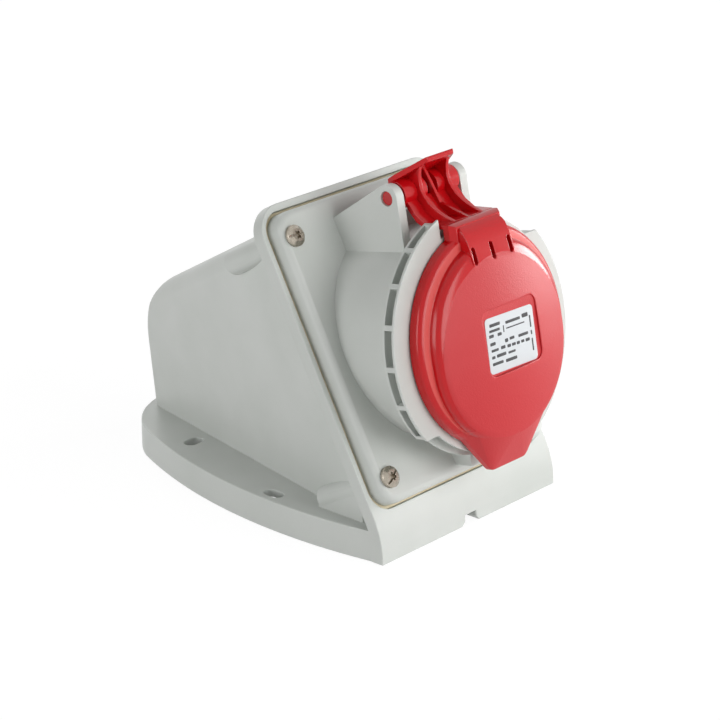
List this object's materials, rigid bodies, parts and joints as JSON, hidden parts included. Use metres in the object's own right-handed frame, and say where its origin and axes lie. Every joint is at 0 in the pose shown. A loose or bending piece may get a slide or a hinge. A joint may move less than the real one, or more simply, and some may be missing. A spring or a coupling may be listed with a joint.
{
  "type": "surface industrial socket",
  "caption": "Sloping grey wall box with a round industrial power socket, slotted base flange, guard ring and a red sprung hinged lid over the contacts.",
  "frame": {"origin": "middle of the base's underside", "axes": "+Z leaves the wall, -Y is the side the socket faces, X runs across the symmetry plane"},
  "size_m": [0.102, 0.1689, 0.1326],
  "materials": {
    "grey_plastic": "satin light grey moulding",
    "red_plastic": "glossy red moulding with a fine matte face",
    "cream_seal": "soft cream foam seal",
    "dark_seal": "dark seal",
    "screw_steel": "nickel plated",
    "spring_steel": "plain wire",
    "contact_brass": "turned",
    "carrier_plastic": "dark moulding",
    "cover_plastic": "plain pale moulding"
  },
  "bodies": {
    "housing": {"wall_box": "grey_plastic", "plate_gasket": "cream_seal", "socket_housing": "grey_plastic", "plate_screw_1": "screw_steel", "plate_screw_2": "screw_steel", "plate_screw_3": "screw_steel", "plate_screw_4": "screw_steel", "lid_spring": "spring_steel", "contact_carrier": "carrier_plastic", "carrier_cover": "cover_plastic", "contact_l1": "contact_brass", "contact_l2": "contact_brass", "contact_l3": "contact_brass", "contact_earth": "contact_brass", "terminal_screw_1": "screw_steel", "terminal_screw_2": "screw_steel", "terminal_screw_3": "screw_steel", "terminal_screw_4": "screw_steel", "carrier_screw_1": "screw_steel", "carrier_screw_2": "screw_steel", "cable_grommet": "dark_seal"},
    "lid": {"lid": "red_plastic", "lid_gasket": "dark_seal", "hinge_pin": "red_plastic"}
  },
  "joints": [
    {"name": "lid_hinge", "type": "hinge", "parent": "housing", "child": "lid", "pos_m": [0, -0.0501, 0.11896], "axis": [-1, 0, 0], "range_deg": [0, 100], "stiffness_Nm_per_rad": 0.12, "springref_deg": -28.65}
  ]
}
